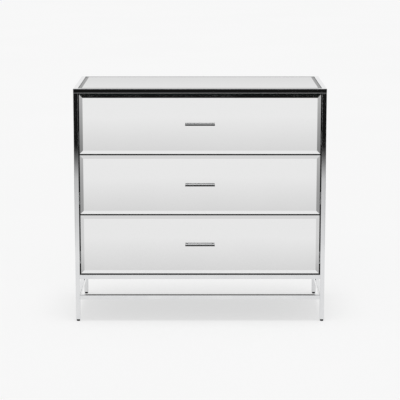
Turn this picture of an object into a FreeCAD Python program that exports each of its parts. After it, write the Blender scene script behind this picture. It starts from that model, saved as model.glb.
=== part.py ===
import FreeCAD, Part
import os

# Mirrored chest of three drawers in a cage of polished square tube.
# +Z is up, the drawers face -Y, and the origin lies on the floor under the middle of the overall box.
# All sizes are in millimetres.

# Frame
frame_width = 914.0
frame_depth = 457.0
frame_height = 860.0
case_rail_top = 175.0
stretcher_top = 98.0
tube_size = 16.0
tube_wall = 1.5
tube_edge_radius = 1.0

# Moulded foot in the lower end of each post
pad_height = 6.5
pad_diameter = 12.4
flange_thickness = 0.8
plug_length = 18.0
plug_clearance = 0.2

# Mirrored glass
glass_thickness = 5.0
bevel_width = 12.7
bevel_drop = 1.7
pane_clearance = 1.0

# Boards of the case
side_recess = 1.0
floor_board_thickness = 9.0
back_sheet_thickness = 5.0
back_sheet_inset = 4.0

# Tabs that carry the deck and the floor board
tab_thickness = 2.0
tab_width = 30.0
tab_reach = 20.0
tab_screw_setback = 12.0
tabs_per_long_rail = 3

# Drawers
drawer_names = ("lower", "middle", "upper")
front_gap = 4.5
front_recess = 1.0
front_board_thickness = 15.0
box_board_thickness = 12.0
box_lift = 15.0
box_headroom = 42.0
box_rear_room = 25.0
box_bottom_thickness = 6.0
groove_depth = 5.0
groove_lift = 10.0
groove_clearance = 0.2

# Telescopic runners: three nested members of bent sheet
runner_height = 45.0
runner_thickness = 12.7
runner_sheet = 1.5
runner_lip = 1.5
runner_clearance = 0.3
runner_outer_reach = 11.0
runner_web_offset = 4.4
runner_setback = 2.0
runner_lift = 55.0
runner_screw_inset = 35.0

# Pulls
pull_overhang = 6.0
pull_projection = 20.0
pull_bar_depth = 7.0
pull_bar_height = 6.0
pull_face_lean = 0.9
pull_edge_radius = 0.5
pull_post_spacing = 96.0
pull_post_diameter = 5.5

# Screws
wood_screw_diameter = 3.5
wood_screw_head_diameter = 7.0
wood_screw_head_height = 1.8
wood_screw_grip = 6.0
pull_screw_diameter = 3.0
pull_screw_head_diameter = 6.0
pull_screw_head_height = 2.0
pull_screw_engagement = 8.0
pull_hole_spare_depth = 1.0
pilot_clearance = 0.05
through_clearance = 0.4

# Planes worked out from the sizes above
half_width = frame_width / 2
inner_x = half_width - tube_size
front_y = (pull_projection - front_recess - frame_depth) / 2
back_y = front_y + frame_depth
inner_front_y = front_y + tube_size
inner_back_y = back_y - tube_size
tube_bottom = pad_height + flange_thickness
top_ring_bottom = frame_height - tube_size
case_ring_bottom = case_rail_top - tube_size
stretcher_bottom = stretcher_top - tube_size
opening_height = top_ring_bottom - case_rail_top
side_board_thickness = tube_size - glass_thickness - side_recess
deck_bottom = top_ring_bottom + tab_thickness
deck_top = frame_height - glass_thickness
back_sheet_outer_y = back_y - back_sheet_inset
back_sheet_inner_y = back_sheet_outer_y - back_sheet_thickness

drawer_count = len(drawer_names)
front_width = 2 * inner_x - 2 * front_gap
front_height = (opening_height - (drawer_count + 1) * front_gap) / drawer_count
pane_front_y = front_y + front_recess
pane_back_y = pane_front_y + glass_thickness
board_back_y = pane_back_y + front_board_thickness
box_rear_y = back_sheet_inner_y - box_rear_room
box_half_width = inner_x - runner_thickness
box_inner_half_width = box_half_width - box_board_thickness
runner_front_y = board_back_y + runner_setback
runner_screw_ys = (runner_front_y + runner_screw_inset, box_rear_y - runner_screw_inset)
pull_length = pull_post_spacing + 2 * pull_overhang
bar_front_y = pane_front_y - pull_projection
bar_back_y = bar_front_y + pull_bar_depth

X, Y, Z = range(3)
LEFT, RIGHT = -1, 1
nodes = {}


def vector(x, y, z):
    return FreeCAD.Vector(x, y, z)


def block(spans):
    """Box between a low and a high value on each of the three axes."""
    low = vector(*[span[0] for span in spans])
    sizes = [span[1] - span[0] for span in spans]
    return Part.makeBox(sizes[X], sizes[Y], sizes[Z], low)


def mirrored_span(side, near, far):
    """Span between two distances from the middle plane, on the left or on the right."""
    return tuple(sorted((side * near, side * far)))


def rod(centre, direction, radius, length):
    return Part.makeCylinder(radius, length, centre, direction)


def screw(seat, direction, diameter, length, head_diameter, head_height):
    """Pan-head screw: the shank runs from the seat along the direction, and the head lies behind the seat."""
    shank = rod(seat, direction, diameter / 2, length)
    head = rod(seat, -direction, head_diameter / 2, head_height)
    return shank.fuse(head).removeSplitter()


def wood_screw(seat, direction, sheet):
    """Wood screw through a metal sheet into a board."""
    length = sheet + wood_screw_grip
    return screw(seat, direction, wood_screw_diameter, length, wood_screw_head_diameter, wood_screw_head_height)


def wood_screw_hole(seat, direction, sheet):
    """What is drilled for a wood screw: its shank and the working clearance round it and past its tip."""
    radius = wood_screw_diameter / 2 + pilot_clearance
    return rod(seat, direction, radius, sheet + wood_screw_grip + pilot_clearance)


def square_tube(axis, spans):
    """Hollow square tube with softened long edges, open at both ends of its axis."""
    outer = block(spans)
    long_edges = [edge for edge in outer.Edges if abs(edge.tangentAt(edge.FirstParameter)[axis]) > 0.5]
    outer = outer.makeFillet(tube_edge_radius, long_edges)
    bore = list(spans)
    for cross in {X, Y, Z} - {axis}:
        bore[cross] = (spans[cross][0] + tube_wall, spans[cross][1] - tube_wall)
    return outer.cut(block(bore))


def bevelled_pane(length, height):
    """Glass pane lying on the XY plane, face up: a plain edge, then a flat bevel up to the smaller face."""
    edge_level = glass_thickness - bevel_drop
    wires = []
    for level, inset in ((0, 0), (edge_level, 0), (glass_thickness, bevel_width)):
        dx = length / 2 - inset
        dy = height / 2 - inset
        corners = [(-dx, -dy), (dx, -dy), (dx, dy), (-dx, dy), (-dx, -dy)]
        wires.append(Part.makePolygon([vector(x, y, level) for x, y in corners]))
    return Part.makeLoft(wires, True, True)


def standing_pane(length, height, turn, back_centre):
    """Bevelled pane set upright, its face to -Y before the turn about Z, with the middle of its back given."""
    pane = bevelled_pane(length, height)
    pane.rotate(vector(0, 0, 0), vector(1, 0, 0), 90)
    pane.rotate(vector(0, 0, 0), vector(0, 0, 1), turn)
    pane.translate(back_centre)
    return pane


# The frame, side by side round the plan: front, right, back, left
side_names = ("front", "right", "back", "left")
side_axes = (X, Y, X, Y)
outer_corners = ((-half_width, front_y), (half_width, front_y), (half_width, back_y), (-half_width, back_y))
inner_corners = (
    (-inner_x, inner_front_y),
    (inner_x, inner_front_y),
    (inner_x, inner_back_y),
    (-inner_x, inner_back_y),
)
corner_names = ("front_left", "front_right", "back_right", "back_left")


def span_of(*values):
    return (min(values), max(values))


def corner_spans(corner):
    """Plan of the post at one corner."""
    pairs = zip(outer_corners[corner], inner_corners[corner])
    return [span_of(*pair) for pair in pairs]


def mitred_rail(side, bottom):
    """Tube along one side of the plan, cut at 45 degrees where it meets its neighbours."""
    end = (side + 1) % len(side_names)
    plan = [outer_corners[side], outer_corners[end], inner_corners[end], inner_corners[side]]
    spans = [span_of(*[point[axis] for point in plan]) for axis in (X, Y)]
    tube = square_tube(side_axes[side], spans + [(bottom, bottom + tube_size)])
    outline = Part.makePolygon([vector(x, y, bottom) for x, y in plan + plan[:1]])
    return tube.common(Part.Face(outline).extrude(vector(0, 0, tube_size)))


def butted_rail(side, bottom):
    """Tube along one side of the plan, cut square between two posts."""
    axis = side_axes[side]
    end = (side + 1) % len(side_names)
    spans = corner_spans(side) + [(bottom, bottom + tube_size)]
    spans[axis] = span_of(inner_corners[side][axis], inner_corners[end][axis])
    return square_tube(axis, spans)


def foot(corner):
    """Moulded foot: round pad, flange under the tube's end, square plug inside the tube."""
    plan = corner_spans(corner)
    centre = vector(sum(plan[X]) / 2, sum(plan[Y]) / 2, 0)
    pad = rod(centre, vector(0, 0, 1), pad_diameter / 2, pad_height)
    flange_spans = [(low + tube_edge_radius, high - tube_edge_radius) for low, high in plan]
    flange = block(flange_spans + [(pad_height, tube_bottom)])
    inset = tube_wall + plug_clearance
    plug_spans = [(low + inset, high - inset) for low, high in plan]
    plug = block(plug_spans + [(tube_bottom, tube_bottom + plug_length)])
    return pad.fuse(flange).fuse(plug).removeSplitter()


for corner, corner_name in enumerate(corner_names):
    post_spans = corner_spans(corner) + [(tube_bottom, top_ring_bottom)]
    nodes[corner_name + "_post"] = [square_tube(Z, post_spans)]
for side, side_name in enumerate(side_names):
    nodes["top_" + side_name + "_rail"] = [mitred_rail(side, top_ring_bottom)]
    nodes["bottom_" + side_name + "_rail"] = [butted_rail(side, case_ring_bottom)]
    nodes["stretcher_" + side_name + "_rail"] = [butted_rail(side, stretcher_bottom)]
nodes["floor_glides"] = [foot(corner) for corner in range(len(corner_names))]


# Tabs inside the top ring and the case ring, each with one screw up into the board on it
def tab_places():
    """Middle of each tab's welded edge in plan, with the direction it reaches in."""
    pitch = 2 * inner_x / tabs_per_long_rail
    xs = [(index + 0.5) * pitch - inner_x for index in range(tabs_per_long_rail)]
    middle_y = (inner_front_y + inner_back_y) / 2
    places = [(vector(x, inner_front_y, 0), vector(0, 1, 0)) for x in xs]
    places += [(vector(x, inner_back_y, 0), vector(0, -1, 0)) for x in xs]
    places += [(vector(-inner_x, middle_y, 0), vector(1, 0, 0))]
    places += [(vector(inner_x, middle_y, 0), vector(-1, 0, 0))]
    return places


def tab_plate(root, inward, level):
    """Flat plate standing inward from a rail's inner face."""
    across = vector(inward.y, inward.x, 0)
    ends = (root - across * (tab_width / 2), root + across * (tab_width / 2) + inward * tab_reach)
    spans = [span_of(ends[0][axis], ends[1][axis]) for axis in (X, Y)]
    return block(spans + [(level, level + tab_thickness)])


top_deck = block(
    [
        (-inner_x, inner_x),
        (inner_front_y, inner_back_y),
        (deck_bottom, deck_top),
    ]
)
bottom_panel = block(
    [
        (-inner_x, inner_x),
        (inner_front_y, inner_back_y),
        (case_ring_bottom + tab_thickness, case_ring_bottom + tab_thickness + floor_board_thickness),
    ]
)
up = vector(0, 0, 1)
tabs = []
case_screws = []
for root, inward in tab_places():
    for level in (top_ring_bottom, case_ring_bottom):
        seat = root + inward * tab_screw_setback + up * level
        hole = wood_screw_hole(seat, up, tab_thickness)
        tabs.append(tab_plate(root, inward, level).cut(hole))
        top_deck = top_deck.cut(hole)
        bottom_panel = bottom_panel.cut(hole)
        case_screws.append(wood_screw(seat, up, tab_thickness))
nodes["panel_tabs"] = tabs
nodes["top_deck"] = [top_deck]
nodes["bottom_panel"] = [bottom_panel]

top_pane = bevelled_pane(2 * (inner_x - pane_clearance), inner_back_y - inner_front_y - 2 * pane_clearance)
top_pane.translate(vector(0, (inner_front_y + inner_back_y) / 2, deck_top))
nodes["top_mirror"] = [top_pane]

nodes["back_panel"] = [
    block(
        [
            (-inner_x, inner_x),
            (back_sheet_inner_y, back_sheet_outer_y),
            (case_rail_top, top_ring_bottom),
        ]
    )
]


# Runners: sections in the plane across the drawer's travel, measured from the side board towards the drawer
def section(near, far, half_height):
    """One rectangle of a runner's section: its reach from the side board and its half height."""
    return (near, far, half_height)


outer_half = runner_height / 2
outer_hollow = outer_half - runner_sheet
middle_half = outer_hollow - runner_clearance
middle_hollow = middle_half - runner_sheet
inner_hook_half = middle_hollow - runner_clearance
inner_half = middle_hollow - runner_lip - runner_clearance
middle_near = runner_sheet + runner_clearance
middle_far = runner_outer_reach - runner_sheet - runner_clearance
middle_web_far = runner_web_offset + runner_sheet
inner_near = middle_web_far + runner_clearance
inner_hook_far = middle_far - runner_sheet - runner_clearance

outer_added = [section(0, runner_outer_reach, outer_half)]
outer_removed = [
    section(runner_sheet, runner_outer_reach - runner_sheet, outer_hollow),
    section(runner_outer_reach - runner_sheet, runner_outer_reach, outer_hollow - runner_lip),
]
middle_added = [section(middle_near, middle_far, middle_half)]
middle_removed = [
    section(middle_near, runner_web_offset, middle_hollow),
    section(middle_web_far, middle_far - runner_sheet, middle_hollow),
    section(middle_far - runner_sheet, middle_far, middle_hollow - runner_lip),
]
inner_added = [
    section(inner_near, inner_hook_far, inner_hook_half),
    section(inner_near, runner_thickness, inner_half),
]
inner_removed = [section(inner_near, runner_thickness - runner_sheet, inner_half - runner_sheet)]


def runner_member(side, centre_z, added, removed):
    """Runner member: rectangles of its section fused, others cut away, carried along the runner's length."""

    def bar(rectangle):
        near, far, half_height = rectangle
        spans = [
            mirrored_span(side, inner_x - near, inner_x - far),
            (runner_front_y, box_rear_y),
            (centre_z - half_height, centre_z + half_height),
        ]
        return block(spans)

    solid = bar(added[0])
    for rectangle in added[1:]:
        solid = solid.fuse(bar(rectangle))
    for rectangle in removed:
        solid = solid.cut(bar(rectangle))
    return solid.removeSplitter()


# Drawers, from the lowest up, with the runner members and screws that belong to the case
side_boards = {}
for side in (LEFT, RIGHT):
    side_boards[side] = block(
        [
            mirrored_span(side, inner_x, inner_x + side_board_thickness),
            (inner_front_y, inner_back_y),
            (case_rail_top, top_ring_bottom),
        ]
    )
outer_members = []
hand_names = {LEFT: "left", RIGHT: "right"}
to_front = vector(0, -1, 0)


def pull_solid(centre_z):
    """Bar with a slightly leaning face on two round posts, each with a blind hole for its screw."""
    low = centre_z - pull_bar_height / 2
    high = centre_z + pull_bar_height / 2
    profile = [(bar_front_y, low), (bar_front_y + pull_face_lean, high), (bar_back_y, high), (bar_back_y, low)]
    outline = Part.makePolygon([vector(-pull_length / 2, y, z) for y, z in profile + profile[:1]])
    bar = Part.Face(outline).extrude(vector(pull_length, 0, 0))
    solid = bar.makeFillet(pull_edge_radius, bar.Edges)
    hole_radius = pull_screw_diameter / 2 + pilot_clearance
    embed = pull_bar_depth / 2
    for side in (LEFT, RIGHT):
        seat = vector(side * pull_post_spacing / 2, pane_front_y, centre_z)
        solid = solid.fuse(rod(seat, to_front, pull_post_diameter / 2, pull_projection - embed))
    for side in (LEFT, RIGHT):
        seat = vector(side * pull_post_spacing / 2, pane_front_y, centre_z)
        solid = solid.cut(rod(seat, to_front, hole_radius, pull_screw_engagement + pull_hole_spare_depth))
    return solid


for index, name in enumerate(drawer_names):
    front_bottom = case_rail_top + front_gap + index * (front_height + front_gap)
    front_top = front_bottom + front_height
    centre_z = (front_bottom + front_top) / 2
    box_bottom = front_bottom + box_lift
    box_top = front_top - box_headroom
    runner_z = front_bottom + runner_lift
    groove_floor = box_bottom + groove_lift
    bottom_top = groove_floor + box_bottom_thickness

    pane = standing_pane(front_width, front_height, 0, vector(0, pane_back_y, centre_z))
    front_board = block(
        [(-front_width / 2, front_width / 2), (pane_back_y, board_back_y), (front_bottom, front_top)]
    )
    drawer_screws = []
    pull_screw_length = front_board_thickness + glass_thickness + pull_screw_engagement
    pull_hole_radius = (pull_screw_diameter + through_clearance) / 2
    for side in (LEFT, RIGHT):
        seat = vector(side * pull_post_spacing / 2, board_back_y, centre_z)
        hole = rod(seat, to_front, pull_hole_radius, front_board_thickness + glass_thickness)
        pane = pane.cut(hole)
        front_board = front_board.cut(hole)
        drawer_screws.append(
            screw(
                seat,
                to_front,
                pull_screw_diameter,
                pull_screw_length,
                pull_screw_head_diameter,
                pull_screw_head_height,
            )
        )

    inner_members = []
    middle_members = []
    for side in (LEFT, RIGHT):
        box_side = block(
            [
                mirrored_span(side, box_inner_half_width, box_half_width),
                (board_back_y, box_rear_y),
                (box_bottom, box_top),
            ]
        )
        groove = block(
            [
                mirrored_span(side, box_inner_half_width, box_inner_half_width + groove_depth),
                (board_back_y, box_rear_y),
                (groove_floor, bottom_top + groove_clearance),
            ]
        )
        box_side = box_side.cut(groove)
        outer_member = runner_member(side, runner_z, outer_added, outer_removed)
        inner_member = runner_member(side, runner_z, inner_added, inner_removed)
        middle_members.append(runner_member(side, runner_z, middle_added, middle_removed))
        outward = vector(side, 0, 0)
        for screw_y in runner_screw_ys:
            outer_seat = vector(side * (inner_x - runner_sheet), screw_y, runner_z)
            outer_hole = wood_screw_hole(outer_seat, outward, runner_sheet)
            outer_member = outer_member.cut(outer_hole)
            side_boards[side] = side_boards[side].cut(outer_hole)
            case_screws.append(wood_screw(outer_seat, outward, runner_sheet))
            inner_seat = vector(side * (box_half_width + runner_sheet), screw_y, runner_z)
            inner_hole = wood_screw_hole(inner_seat, -outward, runner_sheet)
            inner_member = inner_member.cut(inner_hole)
            box_side = box_side.cut(inner_hole)
            drawer_screws.append(wood_screw(inner_seat, -outward, runner_sheet))
        outer_members.append(outer_member)
        inner_members.append(inner_member)
        nodes[name + "_drawer_" + hand_names[side] + "_side"] = [box_side]

    nodes[name + "_drawer_mirror"] = [pane]
    nodes[name + "_drawer_front_board"] = [front_board]
    nodes[name + "_drawer_back"] = [
        block(
            [
                (-box_inner_half_width, box_inner_half_width),
                (box_rear_y - box_board_thickness, box_rear_y),
                (bottom_top, box_top),
            ]
        )
    ]
    bottom_half_width = box_inner_half_width + groove_depth - groove_clearance
    nodes[name + "_drawer_bottom"] = [
        block(
            [
                (-bottom_half_width, bottom_half_width),
                (board_back_y, box_rear_y),
                (groove_floor, bottom_top),
            ]
        )
    ]
    nodes[name + "_drawer_pull"] = [pull_solid(centre_z)]
    nodes[name + "_drawer_screws"] = drawer_screws
    nodes[name + "_runner_inner_members"] = inner_members
    nodes[name + "_runner_intermediate_members"] = middle_members

nodes["runner_outer_members"] = outer_members
nodes["case_screws"] = case_screws

pane_turns = {LEFT: -90, RIGHT: 90}
for side in (LEFT, RIGHT):
    nodes[hand_names[side] + "_side_board"] = [side_boards[side]]
    pane_back = vector(
        side * (inner_x + side_board_thickness),
        (inner_front_y + inner_back_y) / 2,
        case_rail_top + opening_height / 2,
    )
    pane_length = inner_back_y - inner_front_y - 2 * pane_clearance
    pane_height = opening_height - 2 * pane_clearance
    nodes[hand_names[side] + "_side_mirror"] = [
        standing_pane(pane_length, pane_height, pane_turns[side], pane_back)
    ]

os.makedirs("parts", exist_ok=True)
for node, solids in nodes.items():
    shape = solids[0] if len(solids) == 1 else Part.makeCompound(solids)
    shape.exportStep("parts/" + node + ".step")
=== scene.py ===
import logging
import math
from abc import ABC, abstractmethod
from dataclasses import dataclass, field
from enum import Enum, IntEnum
from typing import ClassVar, Sequence

import bmesh
import bpy
import numpy as np
from mathutils import Euler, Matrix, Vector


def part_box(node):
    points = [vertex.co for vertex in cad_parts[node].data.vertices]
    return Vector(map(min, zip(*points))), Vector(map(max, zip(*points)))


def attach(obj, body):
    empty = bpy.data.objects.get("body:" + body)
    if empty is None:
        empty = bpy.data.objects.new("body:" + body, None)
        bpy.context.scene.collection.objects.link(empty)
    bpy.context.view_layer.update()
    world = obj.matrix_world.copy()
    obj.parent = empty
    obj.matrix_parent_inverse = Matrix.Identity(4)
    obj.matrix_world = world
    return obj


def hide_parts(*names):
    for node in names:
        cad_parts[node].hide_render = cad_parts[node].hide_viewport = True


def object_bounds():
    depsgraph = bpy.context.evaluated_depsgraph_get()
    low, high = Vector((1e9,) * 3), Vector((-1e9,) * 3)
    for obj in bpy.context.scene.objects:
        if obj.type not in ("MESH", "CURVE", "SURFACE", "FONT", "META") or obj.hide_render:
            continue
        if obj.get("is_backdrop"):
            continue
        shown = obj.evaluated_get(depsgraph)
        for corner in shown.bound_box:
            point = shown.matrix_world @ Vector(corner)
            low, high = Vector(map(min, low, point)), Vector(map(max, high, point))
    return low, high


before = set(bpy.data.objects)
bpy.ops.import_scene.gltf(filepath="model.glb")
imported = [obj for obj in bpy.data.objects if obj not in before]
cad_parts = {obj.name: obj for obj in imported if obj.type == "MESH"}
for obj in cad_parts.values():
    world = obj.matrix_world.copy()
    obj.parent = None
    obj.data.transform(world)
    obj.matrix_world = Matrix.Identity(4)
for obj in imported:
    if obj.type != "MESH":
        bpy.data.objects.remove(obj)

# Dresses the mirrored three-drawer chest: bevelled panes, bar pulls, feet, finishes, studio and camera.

Colour = tuple[float, float, float]
Ends = tuple[float, float]
Material = bpy.types.Material
Piece = bpy.types.Object
Socket = bpy.types.NodeSocket

log = logging.getLogger("mirrored_chest")

# Name of the UV map that runs across and up a pane, which the painted shade of the silvered finishes
# follows.
PANE_UV = "pane"

# Where most values of a noise lie, and the places of three colours along a grain.
NOISE_LOW, NOISE_HIGH = 0.3, 0.7
GRAIN_STOPS = (0.36, 0.5, 0.64)

# Points nearer than this, in metres, become one.
WELD = 1e-7

# Edges of a softened piece that turn less, in radians, are shaded smooth.
SOFT_TURN = 0.7

# Points along a quarter circle: of an edge or rim, and of a post's fillet.
EDGE_POINTS = 5
FILLET_POINTS = 4

# A height above every flag, in metres.
ABOVE_FLAGS = 9.0


class Level(Enum):
    """The three drawers, by the name their pieces carry."""

    UPPER = "upper"
    MIDDLE = "middle"
    LOWER = "lower"


class Hand(Enum):
    """The two sides of the middle, by their sign."""

    LEFT = -1
    RIGHT = 1


class Axis(Enum):
    """The three axes, by number."""

    X = 0
    Y = 1
    Z = 2


class Facing(Enum):
    """The way something looks out from the case: its right, up and outward directions."""

    FRONT = ((1, 0, 0), (0, 0, 1), (0, -1, 0))
    LEFT = ((0, -1, 0), (0, 0, 1), (-1, 0, 0))
    RIGHT = ((0, 1, 0), (0, 0, 1), (1, 0, 0))
    BACK = ((-1, 0, 0), (0, 0, 1), (0, 1, 0))
    TOP = ((1, 0, 0), (0, 1, 0), (0, 0, 1))

    def directions(self) -> np.ndarray:
        """Returns the right, up and outward directions as the rows of an array."""
        return np.array(self.value, dtype=float)


class PaneSlot(IntEnum):
    """Material slots of a pane, in their order."""

    FIELD = 0
    BEVEL = 1
    UPRIGHT_BEVEL = 2
    EDGE = 3
    BACK = 4


class Nodes:
    """A node tree while it is being drawn up."""

    def __init__(self, tree: bpy.types.NodeTree) -> None:
        """Takes a tree in hand."""
        self.tree = tree

    def add(self, kind: str, **settings: object) -> bpy.types.Node:
        """Adds a node.

        Args:
            kind: Blender's name for the node's type.
            **settings: the node's own options.

        Returns:
            The new node.
        """
        node = self.tree.nodes.new(kind)
        for key, value in settings.items():
            setattr(node, key, value)
        return node

    def feed(self, socket: Socket, value: object) -> None:
        """Links a socket into another, or sets it to a plain value.

        Args:
            socket: the input to fill.
            value: an output socket, a number or a tuple.
        """
        if isinstance(value, bpy.types.NodeSocket):
            self.tree.links.new(value, socket)
        else:
            socket.default_value = value

    def sums(self, operation: str, first: object, second: object = 0.0) -> Socket:
        """Arithmetic on two values, or on one.

        Args:
            operation: Blender's name for it.
            first: a socket or a number.
            second: a socket or a number.

        Returns:
            The value socket.
        """
        node = self.add("ShaderNodeMath", operation=operation)
        self.feed(node.inputs[0], first)
        self.feed(node.inputs[1], second)
        return node.outputs["Value"]

    def weigh(self, first: Socket, second: Socket, share: float) -> Socket:
        """Returns two values added by weight: first * share + second * (1 - share)."""
        part = self.sums("MULTIPLY", first, share)
        return self.sums("ADD", part, self.sums("MULTIPLY", second, 1.0 - share))

    def span(self, value: Socket, low: float, high: float, at_low: float = 0.0, at_high: float = 1.0,
             smooth: bool = True) -> Socket:
        """Carries a value from one range to another, and holds it at the ends.

        Args:
            value: the socket to carry over.
            low: where the first range starts.
            high: where it ends.
            at_low: result at low.
            at_high: result at high.
            smooth: eases in and out.

        Returns:
            The value socket.
        """
        node = self.add("ShaderNodeMapRange", interpolation_type="SMOOTHSTEP" if smooth else "LINEAR")
        self.feed(node.inputs["Value"], value)
        for key, number in (("From Min", low), ("From Max", high), ("To Min", at_low), ("To Max", at_high)):
            node.inputs[key].default_value = number
        return node.outputs["Result"]

    def seen(self) -> Socket:
        """Tells the rays that show a thing from those that only light by it.

        Returns:
            The value socket: 1 for camera, glossy and transmission rays, 0 for all others.
        """
        path = self.add("ShaderNodeLightPath")
        seen = path.outputs["Is Camera Ray"]
        for kind in ("Is Glossy Ray", "Is Transmission Ray"):
            seen = self.sums("MAXIMUM", seen, path.outputs[kind])
        return seen


class NodeSheet(Nodes):
    """One node material while it is being drawn up."""

    def __init__(self, name: str) -> None:
        """Starts a material that holds one Principled shader.

        Args:
            name: the material's name.
        """
        self.material = bpy.data.materials.new(name)
        self.material.use_nodes = True
        super().__init__(self.material.node_tree)
        self.shader = self.tree.nodes["Principled BSDF"]

    def set(self, **inputs: object) -> None:
        """Fills inputs of the Principled shader, each named with underscores for blanks."""
        for key, value in inputs.items():
            self.feed(self.shader.inputs[key.replace("_", " ")], value)

    def place(self, stretch: Sequence[float] = (1, 1, 1)) -> Socket:
        """Object coordinates, stretched along the axes.

        Args:
            stretch: how much closer the pattern lies along x, y and z.

        Returns:
            The vector socket.
        """
        mapping = self.add("ShaderNodeMapping")
        self.feed(mapping.inputs["Vector"], self.add("ShaderNodeTexCoord").outputs["Object"])
        mapping.inputs["Scale"].default_value = tuple(stretch)
        return mapping.outputs["Vector"]

    def axis(self, which: Axis, source: Socket | None = None) -> Socket:
        """One coordinate of a vector.

        Args:
            which: the coordinate.
            source: the vector's socket, or none for Object coordinates.

        Returns:
            The value socket.
        """
        split = self.add("ShaderNodeSeparateXYZ")
        self.feed(split.inputs["Vector"], source or self.place())
        return split.outputs[which.value]

    def noise(self, scale: float, detail: float, stretch: Sequence[float] = (1, 1, 1),
              distortion: float = 0.0) -> Socket:
        """Cloudy noise on Object coordinates.

        Args:
            scale: clouds per metre.
            detail: octaves.
            stretch: how much closer the clouds lie along each axis.
            distortion: how far the clouds are pulled about.

        Returns:
            The value socket, mostly between NOISE_LOW and NOISE_HIGH.
        """
        node = self.add("ShaderNodeTexNoise")
        self.feed(node.inputs["Vector"], self.place(stretch))
        node.inputs["Scale"].default_value = scale
        node.inputs["Detail"].default_value = detail
        node.inputs["Distortion"].default_value = distortion
        return node.outputs["Fac"]

    def graded(self, noise: Socket, at_low: float, at_high: float) -> Socket:
        """Returns a number that follows a noise from its low end to its high end."""
        return self.span(noise, NOISE_LOW, NOISE_HIGH, at_low, at_high)

    def ramp(self, value: Socket, stops: Sequence[tuple[float, Colour]]) -> Socket:
        """Colours along a value.

        Args:
            value: the socket to colour.
            stops: pairs of place and linear colour, in order.

        Returns:
            The colour socket.
        """
        node = self.add("ShaderNodeValToRGB")
        elements = node.color_ramp.elements
        while len(elements) < len(stops):
            elements.new(1.0)
        for element, (place, colour) in zip(elements, stops):
            element.position = place
            element.color = (*colour, 1.0)
        self.feed(node.inputs["Fac"], value)
        return node.outputs["Color"]

    def tinted(self, noise: Socket, dark: Colour, light: Colour) -> Socket:
        """Returns a colour that follows a noise from dark to light."""
        return self.ramp(noise, ((NOISE_LOW, dark), (NOISE_HIGH, light)))

    def bump(self, height: Socket, strength: float, distance: float) -> None:
        """Raises the surface by a height field.

        Args:
            height: the field.
            strength: share of it that shows.
            distance: metres that a height of 1 stands for.
        """
        node = self.add("ShaderNodeBump")
        node.inputs["Strength"].default_value = strength
        node.inputs["Distance"].default_value = distance
        self.feed(node.inputs["Height"], height)
        self.set(Normal=node.outputs["Normal"])

    def blend(self, share: Socket, under: Socket, over: Socket) -> None:
        """Puts a mix of two shaders in the place of the Principled one.

        Args:
            share: how much of the second shows.
            under: the first shader.
            over: the second shader.
        """
        self.tree.nodes.remove(self.shader)
        mix = self.add("ShaderNodeMixShader")
        self.feed(mix.inputs["Fac"], share)
        self.feed(mix.inputs[1], under)
        self.feed(mix.inputs[2], over)
        self.feed(self.tree.nodes["Material Output"].inputs["Surface"], mix.outputs["Shader"])


def grey(value: float) -> Colour:
    """Returns a neutral colour."""
    return (value, value, value)


class Finish(ABC):
    """A finish that draws itself on a sheet."""

    name: str

    @abstractmethod
    def draw(self, sheet: NodeSheet) -> None:
        """Draws the finish on its own sheet."""

    def build(self) -> Material:
        """Makes the finish.

        Returns:
            The node material.
        """
        sheet = NodeSheet(self.name)
        self.draw(sheet)
        return sheet.material


@dataclass(frozen=True)
class PolishedSteel(Finish):
    """Buffed bright tube: a clear reflection, a breath of haze in drifts and faint rub marks."""

    name: str = "polished_steel"
    bright: Colour = (0.775, 0.78, 0.785)
    dull: Colour = (0.735, 0.74, 0.75)
    tone_range: Ends = (0.35, 0.6)
    drifts: float = 9.0
    rubs: float = 108.0
    haze_range: Ends = (0.12, 0.4)
    roughness: Ends = (0.035, 0.075)

    def draw(self, sheet: NodeSheet) -> None:
        """Draws the finish up.

        Args:
            sheet: the finish's sheet.
        """
        drift = sheet.noise(self.drifts, detail=4.0)
        haze = sheet.sums("MULTIPLY", drift, sheet.noise(self.rubs, detail=2.0))
        tones = tuple(zip(self.tone_range, (self.dull, self.bright)))
        sheet.set(Base_Color=sheet.ramp(drift, tones),
                  Roughness=sheet.span(haze, *self.haze_range, *self.roughness), Metallic=1.0)


@dataclass(frozen=True)
class SilveredGlassPaintedShade(Finish):
    """Silvered glass seen through its front, with painted shade: its tone changes slowly from the top of a
    pane to its foot, standing in for the reflection's shading.
    """

    name: str
    top: Colour
    foot: Colour
    turn: float = 0.62
    grazing: float = 1.0
    drifts: float = 5.0
    wander: float = 0.02
    breaths: float = 14.0
    haze_range: Ends = (0.35, 0.7)
    roughness: Ends = (0.04, 0.08)

    def draw(self, sheet: NodeSheet) -> None:
        """Draws the finish up: the tone, a painted shade, follows the height on the pane's own UV map.

        Args:
            sheet: the finish's sheet.
        """
        across = sheet.add("ShaderNodeUVMap", uv_map=PANE_UV).outputs["UV"]
        drift = sheet.graded(sheet.noise(self.drifts, detail=3.0), -self.wander, self.wander)
        height = sheet.sums("ADD", sheet.axis(Axis.Y, across), drift)
        breath = sheet.noise(self.breaths, detail=4.0)
        # Painted shade: the base colour ramps from the foot's tone to the top's tone up the pane.
        sheet.set(Base_Color=sheet.ramp(height, ((0.0, self.foot), (self.turn, self.top))),
                  Roughness=sheet.span(breath, *self.haze_range, *self.roughness), Metallic=1.0,
                  Specular_Tint=(*grey(self.grazing), 1.0))


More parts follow.
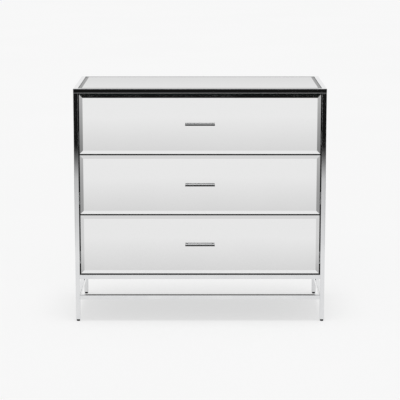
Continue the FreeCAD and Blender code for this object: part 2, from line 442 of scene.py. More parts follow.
@dataclass(frozen=True)
class FineGrain(Finish):
    """A plain finish whose tone and relief follow one fine grain, as its sheen may."""

    name: str
    grains: float
    dark: Colour
    light: Colour
    roughness: Ends
    relief: float
    depth: float
    detail: float = 3.0
    glint: float = 0.5
    sheens: float = 0.0

    def draw(self, sheet: NodeSheet) -> None:
        """Draws the finish up, with wider clouds for the sheen where it has any.

        Args:
            sheet: the finish's sheet.
        """
        grain = sheet.noise(self.grains, self.detail)
        sheen = sheet.noise(self.sheens, self.detail) if self.sheens else grain
        sheet.set(Base_Color=sheet.tinted(grain, self.dark, self.light),
                  Roughness=sheet.graded(sheen, *self.roughness), Specular_IOR_Level=self.glint)
        sheet.bump(grain, self.relief, self.depth)


@dataclass(frozen=True)
class GroundEdge(FineGrain):
    """Ground edge of the glass: deep green, finely frosted."""

    name: str = "ground_glass_edge"
    grains: float = 1800.0
    detail: float = 2.0
    dark: Colour = (0.012, 0.03, 0.026)
    light: Colour = (0.03, 0.06, 0.052)
    roughness: Ends = (0.22, 0.38)
    relief: float = 0.2
    depth: float = 0.0001


@dataclass(frozen=True)
class BackingPaint(FineGrain):
    """Grey paint that seals the silver on the back of a pane."""

    name: str = "mirror_backing_paint"
    grains: float = 160.0
    dark: Colour = (0.1, 0.105, 0.11)
    light: Colour = (0.14, 0.145, 0.15)
    roughness: Ends = (0.5, 0.62)
    relief: float = 0.15
    depth: float = 0.0003


@dataclass(frozen=True)
class BlackBoard(FineGrain):
    """Fibre board under black lacquer, with the faint orange peel of sprayed paint."""

    name: str = "black_lacquered_board"
    grains: float = 260.0
    dark: Colour = (0.008, 0.008, 0.009)
    light: Colour = (0.016, 0.016, 0.017)
    roughness: Ends = (0.6, 0.72)
    relief: float = 0.2
    depth: float = 0.0004
    glint: float = 0.2
    sheens: float = 20.0


@dataclass(frozen=True)
class MouldedNylon(FineGrain):
    """Black moulded nylon with a fine spark-eroded grain."""

    name: str = "black_nylon"
    grains: float = 1500.0
    detail: float = 2.0
    dark: Colour = (0.01, 0.01, 0.011)
    light: Colour = (0.022, 0.022, 0.023)
    roughness: Ends = (0.5, 0.66)
    relief: float = 0.25
    depth: float = 0.0002
    glint: float = 0.25


@dataclass(frozen=True)
class BirchPly(Finish):
    """Sealed birch ply: long quiet grain on the faces, dark and pale plies on the edges."""

    name: str
    thin: Axis
    along: Axis
    plies: int = 7
    thickness: float = 0.012
    figures: float = 34.0
    figure_sway: float = 0.5
    pores: float = 420.0
    grain_stretch: float = 0.05
    figure_share: float = 0.75
    face_tones: Sequence[Colour] = ((0.47, 0.33, 0.2), (0.62, 0.47, 0.31), (0.72, 0.58, 0.41))
    dark_ply: Colour = (0.33, 0.21, 0.12)
    pale_ply: Colour = (0.64, 0.49, 0.33)
    ply_blur: float = 0.4
    face_turn: Ends = (0.4, 0.6)
    sheen_range: Ends = (0.35, 0.65)
    roughness: Ends = (0.5, 0.36)
    relief: float = 0.18
    depth: float = 0.0004

    def draw(self, sheet: NodeSheet) -> None:
        """Draws the finish up: grain along the board, plies across its thickness.

        Args:
            sheet: the finish's sheet.
        """
        long_way = [1.0, 1.0, 1.0]
        long_way[self.along.value] = self.grain_stretch
        figure = sheet.noise(self.figures, detail=5.0, stretch=long_way, distortion=self.figure_sway)
        pores = sheet.noise(self.pores, detail=3.0, stretch=long_way)
        grain = sheet.weigh(figure, pores, self.figure_share)
        face = sheet.ramp(grain, tuple(zip(GRAIN_STOPS, self.face_tones)))
        depth = sheet.sums("MULTIPLY", sheet.axis(self.thin), self.plies / self.thickness * math.pi)
        layers = sheet.span(sheet.sums("SINE", depth), -self.ply_blur, self.ply_blur)
        edge = sheet.ramp(layers, ((0.0, self.dark_ply), (1.0, self.pale_ply)))
        facing = sheet.axis(self.thin, sheet.add("ShaderNodeNewGeometry").outputs["True Normal"])
        mix = sheet.add("ShaderNodeMix", data_type="RGBA")
        sheet.feed(mix.inputs["Factor"], sheet.span(sheet.sums("ABSOLUTE", facing), *self.face_turn))
        sheet.feed(mix.inputs["A"], edge)
        sheet.feed(mix.inputs["B"], face)
        sheet.set(Base_Color=mix.outputs["Result"],
                  Roughness=sheet.span(grain, *self.sheen_range, *self.roughness))
        sheet.bump(grain, self.relief, self.depth)


@dataclass(frozen=True)
class Hardboard(Finish):
    """Dark pressed-fibre back sheet, matted with short fibres."""

    name: str = "pressed_fibre_sheet"
    fibres: float = 320.0
    fibre_stretch: Sequence[float] = (1.0, 1.0, 0.55)
    fibre_sway: float = 1.2
    detail: float = 5.0
    clouds: float = 40.0
    cloud_detail: float = 6.0
    cloud_stretch: Sequence[float] = (1.0, 1.0, 0.8)
    cloud_sway: float = 0.4
    fibre_share: float = 0.75
    tones: Sequence[Colour] = ((0.034, 0.027, 0.021), (0.056, 0.044, 0.035), (0.082, 0.064, 0.05))
    roughness: Ends = (0.62, 0.78)
    relief: float = 0.3
    depth: float = 0.0006

    def draw(self, sheet: NodeSheet) -> None:
        """Draws the finish up.

        Args:
            sheet: the finish's sheet.
        """
        fibre = sheet.noise(self.fibres, self.detail, self.fibre_stretch, self.fibre_sway)
        cloud = sheet.noise(self.clouds, self.cloud_detail, self.cloud_stretch, self.cloud_sway)
        matted = sheet.weigh(fibre, cloud, self.fibre_share)
        sheet.set(Base_Color=sheet.ramp(matted, tuple(zip(GRAIN_STOPS, self.tones))),
                  Roughness=sheet.graded(fibre, *self.roughness))
        sheet.bump(fibre, self.relief, self.depth)


@dataclass(frozen=True)
class PlainSteel(Finish):
    """Zinc-plated bent sheet and screws: pale grey, streaked along the rolling, lightly mottled."""

    name: str = "zinc_plated_steel"
    streaks: float = 700.0
    rolling_stretch: Sequence[float] = (1.0, 0.02, 1.0)
    blooms: float = 60.0
    bloom_range: Ends = (0.35, 0.65)
    cool: Colour = (0.5, 0.52, 0.54)
    warm: Colour = (0.66, 0.66, 0.64)
    roughness: Ends = (0.24, 0.4)
    relief: float = 0.12
    depth: float = 0.0002

    def draw(self, sheet: NodeSheet) -> None:
        """Draws the finish up.

        Args:
            sheet: the finish's sheet.
        """
        streak = sheet.noise(self.streaks, detail=3.0, stretch=self.rolling_stretch)
        tones = tuple(zip(self.bloom_range, (self.cool, self.warm)))
        sheet.set(Base_Color=sheet.ramp(sheet.noise(self.blooms, detail=4.0), tones),
                  Roughness=sheet.graded(streak, *self.roughness), Metallic=1.0)
        sheet.bump(streak, self.relief, self.depth)


def made(finish: Finish) -> Material:
    """Returns a field that a finish's material is made into."""
    return field(default_factory=finish.build)


@dataclass
class Finishes:
    """Every finish of the chest, made once."""

    steel: Material = made(PolishedSteel())
    # The silvered panes and bevels carry painted shade: each ramps between a darker and a lighter tone
    # across the pane, and the top's bevel is painted evenly darker.
    front_glass: Material = made(SilveredGlassPaintedShade("silvered_front", top=grey(0.855), foot=grey(0.7)))
    side_glass: Material = made(SilveredGlassPaintedShade("silvered_side", top=grey(0.855), foot=grey(0.74), turn=0.8))
    top_glass: Material = made(
        SilveredGlassPaintedShade("silvered_top", top=grey(0.72), foot=grey(0.97), turn=1.0, grazing=0.85))
    bevel_glass: Material = made(SilveredGlassPaintedShade("silvered_bevel", top=grey(0.7), foot=grey(0.87), turn=0.95))
    upright_bevel: Material = made(
        SilveredGlassPaintedShade("silvered_upright_bevel", top=grey(0.93), foot=grey(0.46), turn=0.95))
    shaded_top_bevel: Material = made(
        SilveredGlassPaintedShade("silvered_top_bevel", top=grey(0.5), foot=grey(0.5), grazing=0.4))
    edge: Material = made(GroundEdge())
    backing: Material = made(BackingPaint())
    board: Material = made(BlackBoard())
    hardboard: Material = made(Hardboard())
    zinc: Material = made(PlainSteel())
    nylon: Material = made(MouldedNylon())
    side_ply: Material = made(BirchPly("birch_ply_x", thin=Axis.X, along=Axis.Y))
    back_ply: Material = made(BirchPly("birch_ply_y", thin=Axis.Y, along=Axis.X))
    bottom_ply: Material = made(
        BirchPly("birch_ply_z", thin=Axis.Z, along=Axis.X, plies=3, thickness=0.006))


def grid_faces(rows: int, columns: int, ring: bool, first: int = 0) -> np.ndarray:
    """Quads of a grid.

    Args:
        rows: points along the grid.
        columns: points across it, or round the ring.
        ring: whether the columns close into a ring.
        first: number of the grid's first point.

    Returns:
        One row of four point numbers for each quad.
    """
    across = columns if ring else columns - 1
    row, column = np.meshgrid(np.arange(rows - 1), np.arange(across), indexing="ij")
    here, below = row * columns, (row + 1) * columns
    after = (column + 1) % columns
    corners = (here + column, below + column, below + after, here + after)
    return np.stack(corners, axis=-1).reshape(-1, 4) + first


def linked(data: bpy.types.ID) -> Piece:
    """Makes an object of the scene.

    Args:
        data: what it holds, which gives it its name.

    Returns:
        The object.
    """
    piece = bpy.data.objects.new(data.name, data)
    bpy.context.scene.collection.objects.link(piece)
    return piece


def closed_mesh(name: str, grids: Sequence[np.ndarray], slots: np.ndarray | None = None,
                smooth_under: float = 0.0) -> Piece:
    """Turns ring grids into one object, with the points at seams and poles made one.

    Args:
        name: the object's name.
        grids: arrays of shape (rows, columns, 3), each a profile carried round a ring.
        slots: material slot of each quad, shape (rows - 1, columns), for a single grid.
        smooth_under: edges that turn less, in radians, are shaded smooth.

    Returns:
        The object.
    """
    firsts = np.cumsum([0] + [grid.shape[0] * grid.shape[1] for grid in grids])
    points = np.concatenate([grid.reshape(-1, 3) for grid in grids])
    faces = np.concatenate([grid_faces(*grid.shape[:2], True, first) for grid, first in zip(grids, firsts)])
    mesh = bpy.data.meshes.new(name)
    mesh.from_pydata(points.tolist(), [], faces.tolist())
    if slots is not None:
        mesh.polygons.foreach_set("material_index", slots.ravel().astype(np.int32))
    work = bmesh.new()
    work.from_mesh(mesh)
    bmesh.ops.remove_doubles(work, verts=work.verts, dist=WELD)
    bmesh.ops.recalc_face_normals(work, faces=work.faces)
    work.to_mesh(mesh)
    work.free()
    piece = linked(mesh)
    if smooth_under:
        mesh.shade_smooth()
        mesh.set_sharp_from_angle(angle=smooth_under)
        piece.modifiers.new("true_flats", "WEIGHTED_NORMAL").keep_sharp = True
    return piece


def level_grid(half: float, height: float, count: int) -> np.ndarray:
    """A level square: x and y run from -half to half with the two parameters, at one height.

    Args:
        half: half the square's side.
        height: its height.
        count: points along each side.

    Returns:
        Points of shape (count, count, 3).
    """
    side = np.linspace(-half, half, count)
    across, along = np.meshgrid(side, side, indexing="ij")
    return np.stack([across, along, np.full_like(across, height)], axis=-1)


def open_sheet(name: str, points: np.ndarray) -> Piece:
    """Turns an open grid into one object.

    Args:
        name: the object's name.
        points: array of shape (rows, columns, 3).

    Returns:
        The object.
    """
    faces = grid_faces(*points.shape[:2], ring=False)
    mesh = bpy.data.meshes.new(name)
    mesh.from_pydata(points.reshape(-1, 3).tolist(), [], faces.tolist())
    return linked(mesh)


def laid(run: Axis, *parts: np.ndarray) -> np.ndarray:
    """Returns points from their places along an axis and on the two axes after it."""
    return np.roll(np.stack(np.broadcast_arrays(*parts), axis=-1), run.value, axis=-1)


def rounded_bar(corners: np.ndarray, radius: float, ends: Ends, run: Axis) -> np.ndarray:
    """A bar with softened edges along an axis.

    Each ring is the bar's four corner points plus a circle split between them: point = corner +
    reach * (cos a, sin a). The reach grows from nothing to the edge radius over a quarter circle at each
    end, and both end faces close in a point.

    Args:
        corners: four corner centres of the section, shape (4, 2), on the two axes after the run,
            anticlockwise from the one that is high on the first and low on the second.
        radius: edge radius.
        ends: where the bar starts and stops.
        run: axis the bar lies along.

    Returns:
        Points of shape (rows, columns, 3).
    """
    quarter = np.linspace(0.0, math.pi / 2, EDGE_POINTS)
    angles = (np.arange(len(corners))[:, None] - 1.0) * math.pi / 2 + quarter[None, :]
    spokes = np.stack([np.cos(angles), np.sin(angles)], axis=-1).reshape(-1, 2)
    homes = np.repeat(corners, EDGE_POINTS, axis=0)
    reach = np.concatenate([[0.0], radius * np.sin(quarter), radius * np.sin(quarter[::-1]), [0.0]])
    rise = radius * (1.0 - np.cos(quarter))
    along = np.concatenate([[ends[0]], ends[0] + rise, ends[1] - rise[::-1], [ends[1]]])
    section = homes[None] + reach[:, None, None] * spokes[None]
    section[[0, -1]] = corners.mean(axis=0)
    return laid(run, along[:, None], section[..., 0], section[..., 1])


def turned(profile: np.ndarray, centre: Sequence[float], run: Axis, sides: int = 32) -> np.ndarray:
    """A turned form: each point of the profile goes round the axis as radius * (cos a, sin a).

    Args:
        profile: pairs of distance along the axis and radius, from one pole to the other.
        centre: a point on the axis.
        run: axis of turning.
        sides: points round.

    Returns:
        Points of shape (profile points, sides, 3).
    """
    angle = np.linspace(0.0, 2 * math.pi, sides, endpoint=False)
    _, first, second = np.roll(centre, -run.value)
    along, radius = profile[:, :1], profile[:, 1:]
    return laid(run, along, radius * np.cos(angle) + first, radius * np.sin(angle) + second)


def dress(material: Material, *nodes: str) -> None:
    """Gives CAD pieces a finish.

    Args:
        material: the finish.
        *nodes: names of the pieces.
    """
    for node in nodes:
        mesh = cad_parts[node].data
        mesh.materials.clear()
        mesh.materials.append(material)
        log.info("dressed %s in %s", node, material.name)


@dataclass
class MirrorPane:
    """A bevelled mirror: flat silvered field, bevel, ground edge and painted back."""

    BANDS: ClassVar[tuple[PaneSlot, ...]] = (
        PaneSlot.FIELD, PaneSlot.BEVEL, PaneSlot.EDGE, PaneSlot.EDGE, PaneSlot.EDGE, PaneSlot.BACK)
    CORNERS: ClassVar[np.ndarray] = np.array([[-1, -1], [1, -1], [1, 1], [-1, 1]], dtype=float)

    node: str
    body: str
    facing: Facing
    face: Material
    bevel: Material
    upright: Material
    finishes: Finishes
    bevel_width: float = 0.0127
    bevel_drop: float = 0.0017
    arris: float = 0.0004

    def rings(self) -> np.ndarray:
        """Works the pane out as nested rectangles, from the middle of its field to the middle of its back.

        Each ring is the pane's four corners drawn in by an inset and raised to a level: point = middle of
        the back + corner * (half size - inset) * share + outward * level. A share of 0 closes a face.

        Returns:
            Points of shape (rows, 4, 3), one row more than there are bands.
        """
        low, high = np.array(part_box(self.node))
        right, up, out = self.facing.directions()
        size = high - low
        half = np.array([abs(size @ right), abs(size @ up)]) / 2
        thick = abs(size @ out)
        back = (low + high) / 2 - out * thick / 2
        edge_top = thick - self.bevel_drop
        slope = self.bevel_drop * self.arris / self.bevel_width
        inset = np.array([0.0, self.bevel_width, self.arris, 0.0, 0.0, self.arris, 0.0])
        level = np.array([thick, thick, edge_top + slope, edge_top - self.arris, self.arris, 0.0, 0.0])
        share = np.array([0.0, 1.0, 1.0, 1.0, 1.0, 1.0, 0.0])
        flat = self.CORNERS[None] * (half - inset[:, None])[:, None] * share[:, None, None]
        return back + flat[..., :1] * right + flat[..., 1:] * up + level[:, None, None] * out

    def slots(self) -> np.ndarray:
        """Chooses the slot of each quad. Every second side of the bevel, from the right one on, is upright.

        Returns:
            Slot numbers of shape (bands, 4).
        """
        sides = len(self.CORNERS)
        slots = np.repeat(np.array(self.BANDS)[:, None], sides, axis=1)
        upright = np.arange(sides) % 2 == 1
        slots[(slots == PaneSlot.BEVEL) & upright] = PaneSlot.UPRIGHT_BEVEL
        return slots

    def build(self) -> Piece:
        """Makes the pane and sets it on its body in place of the plain solid.

        Returns:
            The pane.
        """
        piece = closed_mesh(f"{self.node}_pane", [self.rings()], self.slots())
        self.dress(piece)
        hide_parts(self.node)
        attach(piece, self.body)
        log.info("pane %s", piece.name)
        return piece

    def dress(self, piece: Piece) -> None:
        """Gives the pane its finishes in the order of PaneSlot, and a UV map from 0 to 1 across and up it,
        along which the silvered finishes paint their shade.

        Args:
            piece: the pane.
        """
        mesh = piece.data
        for material in (self.face, self.bevel, self.upright, self.finishes.edge, self.finishes.backing):
            mesh.materials.append(material)
        low, high = np.array(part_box(self.node))
        points = np.empty(len(mesh.vertices) * 3)
        mesh.vertices.foreach_get("co", points)
        loops = np.empty(len(mesh.loops), dtype=np.int32)
        mesh.loops.foreach_get("vertex_index", loops)
        offset = points.reshape(-1, 3)[loops] - (low + high) / 2
        share = [offset @ way / abs((high - low) @ way) + 0.5 for way in self.facing.directions()[:2]]
        layer = mesh.uv_layers.new(name=PANE_UV)
        layer.data.foreach_set("uv", np.stack(share, axis=-1).ravel().astype(np.float32))


@dataclass
class BarPull:
    """A slim bar on two round posts. Its face leans back a little towards the top."""

    level: Level
    steel: Material
    bar_depth: float = 0.007
    bar_height: float = 0.006
    lean: float = 0.0009
    edge_radius: float = 0.0005
    post_spacing: float = 0.096
    post_radius: float = 0.00275
    post_fillet: float = 0.0004

    def bar(self) -> np.ndarray:
        """The bar's points: a softened four-cornered section carried along x.

        Returns:
            Points of shape (rows, columns, 3).
        """
        low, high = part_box(f"{self.level.value}_drawer_pull")
        middle = (low[2] + high[2]) / 2
        rise = self.bar_height / 2 - self.edge_radius
        under, over = middle - rise, middle + rise
        front, rear = low[1] + self.edge_radius, low[1] + self.bar_depth - self.edge_radius
        section = np.array([(rear, under), (rear, over), (front + self.lean, over), (front, under)])
        return rounded_bar(section, self.edge_radius, (low[0], high[0]), Axis.X)

    def post(self, hand: Hand) -> np.ndarray:
        """A post's points: a rod turned about y, its end at the glass eased by a quarter circle.

        Args:
            hand: the side it stands on.

        Returns:
            Points of shape (rows, columns, 3).
        """
        low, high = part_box(f"{self.level.value}_drawer_pull")
        centre = (hand.value * self.post_spacing / 2, 0.0, (low[2] + high[2]) / 2)
        inside_bar, at_glass = low[1] + self.bar_depth / 2, high[1]
        quarter = np.linspace(0.0, math.pi / 2, FILLET_POINTS)
        eased = np.stack([at_glass - self.post_fillet * (1 - np.sin(quarter)),
                          self.post_radius - self.post_fillet * (1 - np.cos(quarter))], axis=-1)
        start = [(inside_bar, 0.0), (inside_bar, self.post_radius)]
        return turned(np.concatenate([start, eased, [(at_glass, 0.0)]]), centre, Axis.Y)

    def build(self) -> None:
        """Makes the pull and sets it on its drawer in place of the plain solid."""
        name = f"{self.level.value}_drawer_pull"
        bar = closed_mesh(f"{name}_bar", [self.bar()], smooth_under=SOFT_TURN)
        posts = closed_mesh(f"{name}_posts", [self.post(hand) for hand in Hand], smooth_under=SOFT_TURN)
        for piece in (bar, posts):
            piece.data.materials.append(self.steel)
            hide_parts(name)
            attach(piece, f"{self.level.value}_drawer")
            log.info("pull %s", piece.name)


@dataclass
class Feet:
    """Four moulded feet: a round pad with an eased rim under a square flange that closes the tube."""

    SQUARE: ClassVar[np.ndarray] = np.array([(1, -1), (1, 1), (-1, 1), (-1, -1)], dtype=float)

    nylon: Material
    posts: tuple[str, ...] = ("front_left_post", "front_right_post", "back_left_post", "back_right_post")
    pad_radius: float = 0.0062
    pad_height: float = 0.0065
    rim: float = 0.0008
    flange_half: float = 0.007
    flange_top: float = 0.0073
    flange_edge: float = 0.0003

    def pad(self, centre: Sequence[float]) -> np.ndarray:
        """A pad's points: a disc turned about z whose lower rim is a quarter circle.

        Args:
            centre: a point on the pad's axis.

        Returns:
            Points of shape (rows, columns, 3).
        """
        quarter = np.linspace(0.0, math.pi / 2, EDGE_POINTS)
        rim = np.stack([self.rim * (1 - np.cos(quarter)),
                        self.pad_radius - self.rim * (1 - np.sin(quarter))], axis=-1)
        top = [(self.pad_height, self.pad_radius), (self.pad_height, 0.0)]
        return turned(np.concatenate([[(0.0, 0.0)], rim, top]), centre, Axis.Z)

    def flange(self, centre: Sequence[float]) -> np.ndarray:
        """Returns a flange's points, shape (rows, columns, 3): a softened square carried up z."""
        square = self.SQUARE * (self.flange_half - self.flange_edge) + np.array(centre[:2])
        return rounded_bar(square, self.flange_edge, (self.pad_height, self.flange_top), Axis.Z)

    def build(self) -> None:
        """Makes the feet and sets them on the case in place of the plain solids."""
        centres = [np.mean(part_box(post), axis=0) for post in self.posts]
        grids = [self.pad(centre) for centre in centres] + [self.flange(centre) for centre in centres]
        piece = closed_mesh("moulded_feet", grids, smooth_under=SOFT_TURN)
        piece.data.materials.append(self.nylon)
        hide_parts("floor_glides")
        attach(piece, "case")
        log.info("feet %s", piece.name)


@dataclass
class Drawer:
    """One drawer: mirrored front on a black board, ply box, runners and pull."""

    level: Level
    finishes: Finishes

    def build(self) -> Piece:
        """Makes the pane and the pull, and dresses the box and the runners.

        Returns:
            The pane.
        """
        name, finishes = self.level.value, self.finishes
        # The front's finishes carry painted shade: tone ramps up the field and the bevels.
        pane = MirrorPane(f"{name}_drawer_mirror", f"{name}_drawer", Facing.FRONT, finishes.front_glass,
                          finishes.bevel_glass, finishes.upright_bevel, finishes).build()
        BarPull(self.level, finishes.steel).build()
        dress(finishes.board, f"{name}_drawer_front_board")
        dress(finishes.side_ply, f"{name}_drawer_left_side", f"{name}_drawer_right_side")
        dress(finishes.back_ply, f"{name}_drawer_back")
        dress(finishes.bottom_ply, f"{name}_drawer_bottom")
        dress(finishes.zinc, f"{name}_drawer_screws", f"{name}_runner_inner_members",
              f"{name}_runner_intermediate_members")
        return pane


@dataclass
class Case:
    """The cage of tube with its boards, top and side mirrors, feet and fixed runner members."""

    finishes: Finishes
    rings: tuple[str, ...] = ("top", "bottom", "stretcher")
    sides: tuple[str, ...] = ("front", "right", "back", "left")

    def build(self) -> list[Piece]:
        """Makes the three panes and the feet, and dresses the rest.

        Returns:
            The panes.
        """
        finishes = self.finishes
        # These panes' finishes carry painted shade: tone ramps across each pane, and an evenly darker top
        # bevel.
        panes = [MirrorPane("top_mirror", "case", Facing.TOP, finishes.top_glass, finishes.shaded_top_bevel,
                            finishes.shaded_top_bevel, finishes).build()]
        panes += [MirrorPane(f"{facing.name.lower()}_side_mirror", "case", facing, finishes.side_glass,
                             finishes.bevel_glass, finishes.bevel_glass, finishes).build()
                  for facing in (Facing.LEFT, Facing.RIGHT)]
        feet = Feet(finishes.nylon)
        feet.build()
        dress(finishes.steel, *feet.posts)
        dress(finishes.steel, *[f"{ring}_{side}_rail" for ring in self.rings for side in self.sides])
        dress(finishes.board, "top_deck", "left_side_board", "right_side_board", "bottom_panel")
        dress(finishes.hardboard, "back_panel")
        dress(finishes.zinc, "panel_tabs", "runner_outer_members", "case_screws")
        return panes


@dataclass(kw_only=True)
class Flag(ABC):
    """A soft-edged cloth that only reflections see: black in the tube, of a chosen tone in the mirrors."""

    HIDDEN_FROM: ClassVar[tuple[str, ...]] = (
        "camera", "diffuse", "shadow", "transmission", "volume_scatter")

    name: str
    tone: float
    lit_top: float = ABOVE_FLAGS
    lit_fade: float = 0.02
    thickness: float = 0.99

    @abstractmethod
    def corners(self) -> np.ndarray:
        """Returns the cloth's corners, shape (2, 2, 3)."""

    @abstractmethod
    def cover(self, sheet: NodeSheet) -> Socket:
        """Returns the share of cloth at a place, from 0 to 1, as a socket."""

    def build(self, mirrors: bpy.types.Collection) -> None:
        """Hangs the flag: a flat sheet on the two by two grid of its corners.

        Args:
            mirrors: the pieces that see its tone.
        """
        flag = open_sheet(self.name, self.corners())
        sheet = NodeSheet(f"{self.name}_cloth")
        glow = sheet.add("ShaderNodeEmission")
        lit = sheet.span(sheet.axis(Axis.Z), self.lit_top, self.lit_top + self.lit_fade, self.tone, 0.0)
        sheet.feed(glow.inputs["Strength"], lit)
        clear = sheet.add("ShaderNodeBsdfTransparent")
        share = sheet.sums("MULTIPLY", self.cover(sheet), self.thickness)
        sheet.blend(share, clear.outputs["BSDF"], glow.outputs["Emission"])
        flag.data.materials.append(sheet.material)
        for kind in self.HIDDEN_FROM:
            setattr(flag, f"visible_{kind}", False)
        flag.light_linking.receiver_collection = mirrors
        flag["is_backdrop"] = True
        log.info("flag %s", self.name)


@dataclass(kw_only=True)
class StandingFlag(Flag):
    """An upright flag off one side of the chest, soft at its sides, foot and top."""

    facing: Facing
    reach: float
    half: Ends
    foot: Ends
    top: Ends
    centre: float = 0.0
    tail: float = 0.0
    tail_share: float = 0.67

    def corners(self) -> np.ndarray:
        """Works the corners out: point = out * reach + along * s + up * t, along being the x or the y axis.

        Returns:
            Points of shape (2, 2, 3).
        """
        right, up, out = self.facing.directions()
        ends = (self.centre - self.half[1], self.centre + self.half[1])
        side, height = np.meshgrid(ends, (0.0, self.top[1]), indexing="ij")
        return out * self.reach + side[..., None] * np.abs(right) + height[..., None] * up

    def cover(self, sheet: NodeSheet) -> Socket:
        """Multiplies the fades of the sides, the foot and the top. A thin tail hangs below the foot's fade.

        Args:
            sheet: the cloth's material.

        Returns:
            The value socket.
        """
        right = self.facing.directions()[0]
        sideways = Axis.X if right[Axis.X.value] else Axis.Y
        offset = sheet.sums("SUBTRACT", sheet.axis(sideways), self.centre)
        side = sheet.span(sheet.sums("ABSOLUTE", offset), *self.half, 1.0, 0.0)
        rise = sheet.axis(Axis.Z)
        tail = sheet.span(rise, 0.0, self.foot[1] * self.tail_share, 0.0, self.tail, smooth=False)
        foot = sheet.sums("MAXIMUM", sheet.span(rise, *self.foot), tail)
        ends = sheet.sums("MULTIPLY", foot, sheet.span(rise, *self.top, 1.0, 0.0))
        return sheet.sums("MULTIPLY", side, ends)


@dataclass(kw_only=True)
class OverheadFlag(Flag):
    """A level flag overhead with a round hole in its middle."""

    height: float
    thickness: float = 0.85
    hole: Ends = (0.5, 1.0)
    rim: Ends = (2.4, 3.2)

    def corners(self) -> np.ndarray:
        """Returns the corners of a level square, shape (2, 2, 3)."""
        return level_grid(self.rim[1], self.height, 2)

    def cover(self, sheet: NodeSheet) -> Socket:
        """A ring: the distance from the middle fades in and out again.

        Args:
            sheet: the cloth's material.

        Returns:
            The value socket.
        """
        length = sheet.add("ShaderNodeVectorMath", operation="LENGTH")
        sheet.feed(length.inputs[0], sheet.place((1, 1, 0)))
        distance = length.outputs["Value"]
        inner = sheet.span(distance, *self.hole)
        return sheet.sums("MULTIPLY", inner, sheet.span(distance, *self.rim, 1.0, 0.0))


@dataclass
class FlagRing:
    """The flags round the chest and above it."""

    receivers: list[Piece]
    pale: float
    sky: float
    distance: float = 1.2
    spread: float = 1.2
    margin: Ends = (0.03, 0.12)
    foot: Ends = (0.24, 0.49)
    tail: float = 0.3
    top: Ends = (0.86, 0.92)
    front_top: Ends = (1.08, 1.12)
    front_lit_top: float = 0.93
    bevel_throw: float = 0.33
    wing_half: Ends = (0.03, 0.28)
    wing_foot: Ends = (-0.1, 0.35)
    wing_top: Ends = (0.7, 0.95)
    wing_tone: float = 0.46
    slant_gap: float = 0.2
    slant_half: Ends = (0.4, 0.55)
    slant_foot: Ends = (0.02, 0.3)
    near_distance: float = 0.45
    near_offset: float = 0.56
    near_half: Ends = (0.28, 0.42)
    near_foot: Ends = (0.1, 0.26)
    near_top: Ends = (0.46, 0.62)
    near_tone: float = 0.8
    back_distance: float = 0.5
    back_spread: Ends = (1.1, 1.25)
    back_foot: Ends = (0.36, 0.62)
    back_top: Ends = (0.8, 0.86)
    overhead: float = 3.0

    def pair(self, kind: str, facing: Facing, offset: float, **cut: object) -> list[Flag]:
        """Two like flags, left and right of the middle of one side.

        Args:
            kind: the end of their names.
            facing: the side.
            offset: distance of each from the middle.
            **cut: the flags' other fields.

        Returns:
            The flags, not yet built.
        """
        start = facing.name.lower()
        return [StandingFlag(name=f"{start}_{hand.name.lower()}_{kind}", facing=facing,
                             centre=hand.value * offset, **cut) for hand in Hand]

    def near(self, facing: Facing, half: float, depth: float) -> list[Flag]:
        """Returns two low flags close to one side and past its ends, which its tube sees aslant."""
        return self.pair("near", facing, half + self.near_offset, reach=depth + self.near_distance,
                         tone=self.near_tone, half=self.near_half, foot=self.near_foot, top=self.near_top)

    def beside(self, facing: Facing, half: float, depth: float) -> list[Flag]:
        """One side's flags: a main one for its tube, two wings for its bevels, two aslant and two near.

        Args:
            facing: the side.
            half: half its width.
            depth: its distance from the middle of the chest.

        Returns:
            The flags, not yet built.
        """
        reach = depth + self.distance
        width = half * self.spread
        throw = width + self.bevel_throw
        front = facing is Facing.FRONT
        main = StandingFlag(name=f"{facing.name.lower()}_flag", facing=facing, reach=reach, tone=self.pale,
                            half=(width + self.margin[0], width + self.margin[1]),
                            foot=self.foot, tail=self.tail, top=self.front_top if front else self.top,
                            lit_top=self.front_lit_top if front else ABOVE_FLAGS)
        wings = self.pair("wing", facing, throw, reach=reach, tone=self.wing_tone, half=self.wing_half,
                          foot=self.wing_foot, top=self.wing_top)
        slants = self.pair("slant", facing, throw + self.slant_half[1] + self.slant_gap, reach=reach,
                           tone=self.pale, half=self.slant_half, foot=self.slant_foot, top=self.top)
        return [main] + wings + slants + self.near(facing, half, depth)

    def build(self) -> None:
        """Stands the flags round the chest, and lights the mirrors alone by them."""
        low, high = np.array(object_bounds())
        wide, deep = (high - low)[:2] / 2
        mirrors = bpy.data.collections.new("mirrors_lit_by_flags")
        for pane in self.receivers:
            mirrors.objects.link(pane)
        flags = self.beside(Facing.FRONT, wide, deep)
        flags += self.beside(Facing.LEFT, deep, wide) + self.beside(Facing.RIGHT, deep, wide)
        flags.append(StandingFlag(name="back_flag", facing=Facing.BACK, reach=deep + self.back_distance,
                                  tone=self.pale, foot=self.back_foot, top=self.back_top,
                                  half=(wide * self.back_spread[0], wide * self.back_spread[1])))
        flags += self.near(Facing.BACK, wide, deep)
        flags.append(OverheadFlag(name="overhead_flag", tone=self.sky, height=self.overhead))
        for flag in flags:
            flag.build(mirrors)


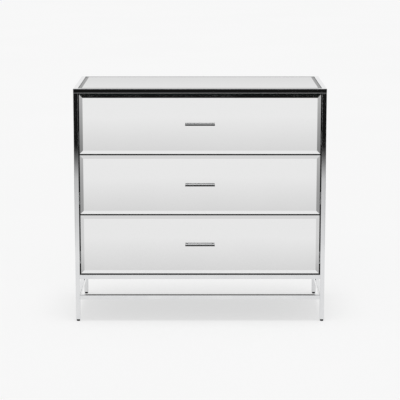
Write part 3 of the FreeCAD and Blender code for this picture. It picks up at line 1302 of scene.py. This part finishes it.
@dataclass
class Studio:
    """Pale floor, soft light, black flags for the metal and the camera of the photograph."""

    receivers: list[Piece]
    floor_half: float = 40.0
    floor_points: int = 9
    pale: float = 0.95
    mottle: float = 0.004
    mottles: float = 0.7
    floor_glow: float = 0.68
    sky: float = 0.92
    air: float = 0.5
    sun: float = 1.42
    sun_width: float = 24.0
    sun_lean: float = 5.0
    sun_height: float = 3.0
    camera_place: Sequence[float] = (0.0, -6.154, 1.501)
    camera_pitch: float = 10.007
    lens: float = 148.95
    sensor: float = 36.0
    sight: float = 200.0

    def floor(self) -> None:
        """Lays the floor: a level sheet of faintly mottled paper, which glows for the rays that show it."""
        floor = open_sheet("studio_floor", level_grid(self.floor_half, 0.0, self.floor_points))
        sheet = NodeSheet("studio_paper")
        tone = sheet.tinted(sheet.noise(self.mottles, detail=2.0), grey(self.pale - self.mottle),
                            grey(self.pale + self.mottle))
        paper = sheet.add("ShaderNodeBsdfDiffuse")
        glow = sheet.add("ShaderNodeEmission")
        for shader in (paper, glow):
            sheet.feed(shader.inputs["Color"], tone)
        share = sheet.sums("MULTIPLY", sheet.seen(), self.floor_glow)
        sheet.blend(share, paper.outputs["BSDF"], glow.outputs["Emission"])
        floor.data.materials.append(sheet.material)
        floor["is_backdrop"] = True
        log.info("floor %s", floor.name)

    def world(self) -> None:
        """Surrounds the chest with even light, and shows the camera and the reflections a pale backdrop."""
        world = bpy.data.worlds.new("studio_air")
        world.use_nodes = True
        nodes = Nodes(world.node_tree)
        background = world.node_tree.nodes["Background"]
        background.inputs["Color"].default_value = (1.0, 1.0, 1.0, 1.0)
        strength = nodes.span(nodes.seen(), 0.0, 1.0, self.air, self.sky, smooth=False)
        nodes.feed(background.inputs["Strength"], strength)
        bpy.context.scene.world = world

    def overhead_light(self) -> None:
        """Lights everything softly from above and a little in front, out of sight of the reflections."""
        light = bpy.data.lights.new("overhead_light", "SUN")
        light.energy = self.sun
        light.angle = math.radians(self.sun_width)
        lamp = linked(light)
        lamp.location = (0.0, 0.0, self.sun_height)
        lamp.rotation_euler = Euler((math.radians(self.sun_lean), 0.0, 0.0))
        lamp.visible_glossy = False
        log.info("light %s", lamp.name)

    def camera(self) -> None:
        """Stands the camera where the photograph was taken from."""
        lens = bpy.data.cameras.new("photograph_camera")
        lens.lens = self.lens
        lens.sensor_width = self.sensor
        lens.sensor_fit = "HORIZONTAL"
        lens.clip_end = self.sight
        camera = linked(lens)
        camera.location = self.camera_place
        camera.rotation_euler = Euler((math.pi / 2 - math.radians(self.camera_pitch), 0.0, 0.0))
        bpy.context.scene.camera = camera

    def build(self) -> None:
        """Sets the whole studio up."""
        bpy.context.scene.view_settings.view_transform = "Standard"
        FlagRing(self.receivers, self.pale, self.sky).build()
        self.floor()
        self.world()
        self.overhead_light()
        self.camera()


def main() -> None:
    logging.basicConfig(level=logging.INFO, format="%(name)s: %(message)s")
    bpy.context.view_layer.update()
    finishes = Finishes()
    panes = Case(finishes).build()
    panes += [Drawer(level, finishes).build() for level in Level]
    Studio(panes).build()
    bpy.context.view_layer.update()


if __name__ == "__main__":
    main()
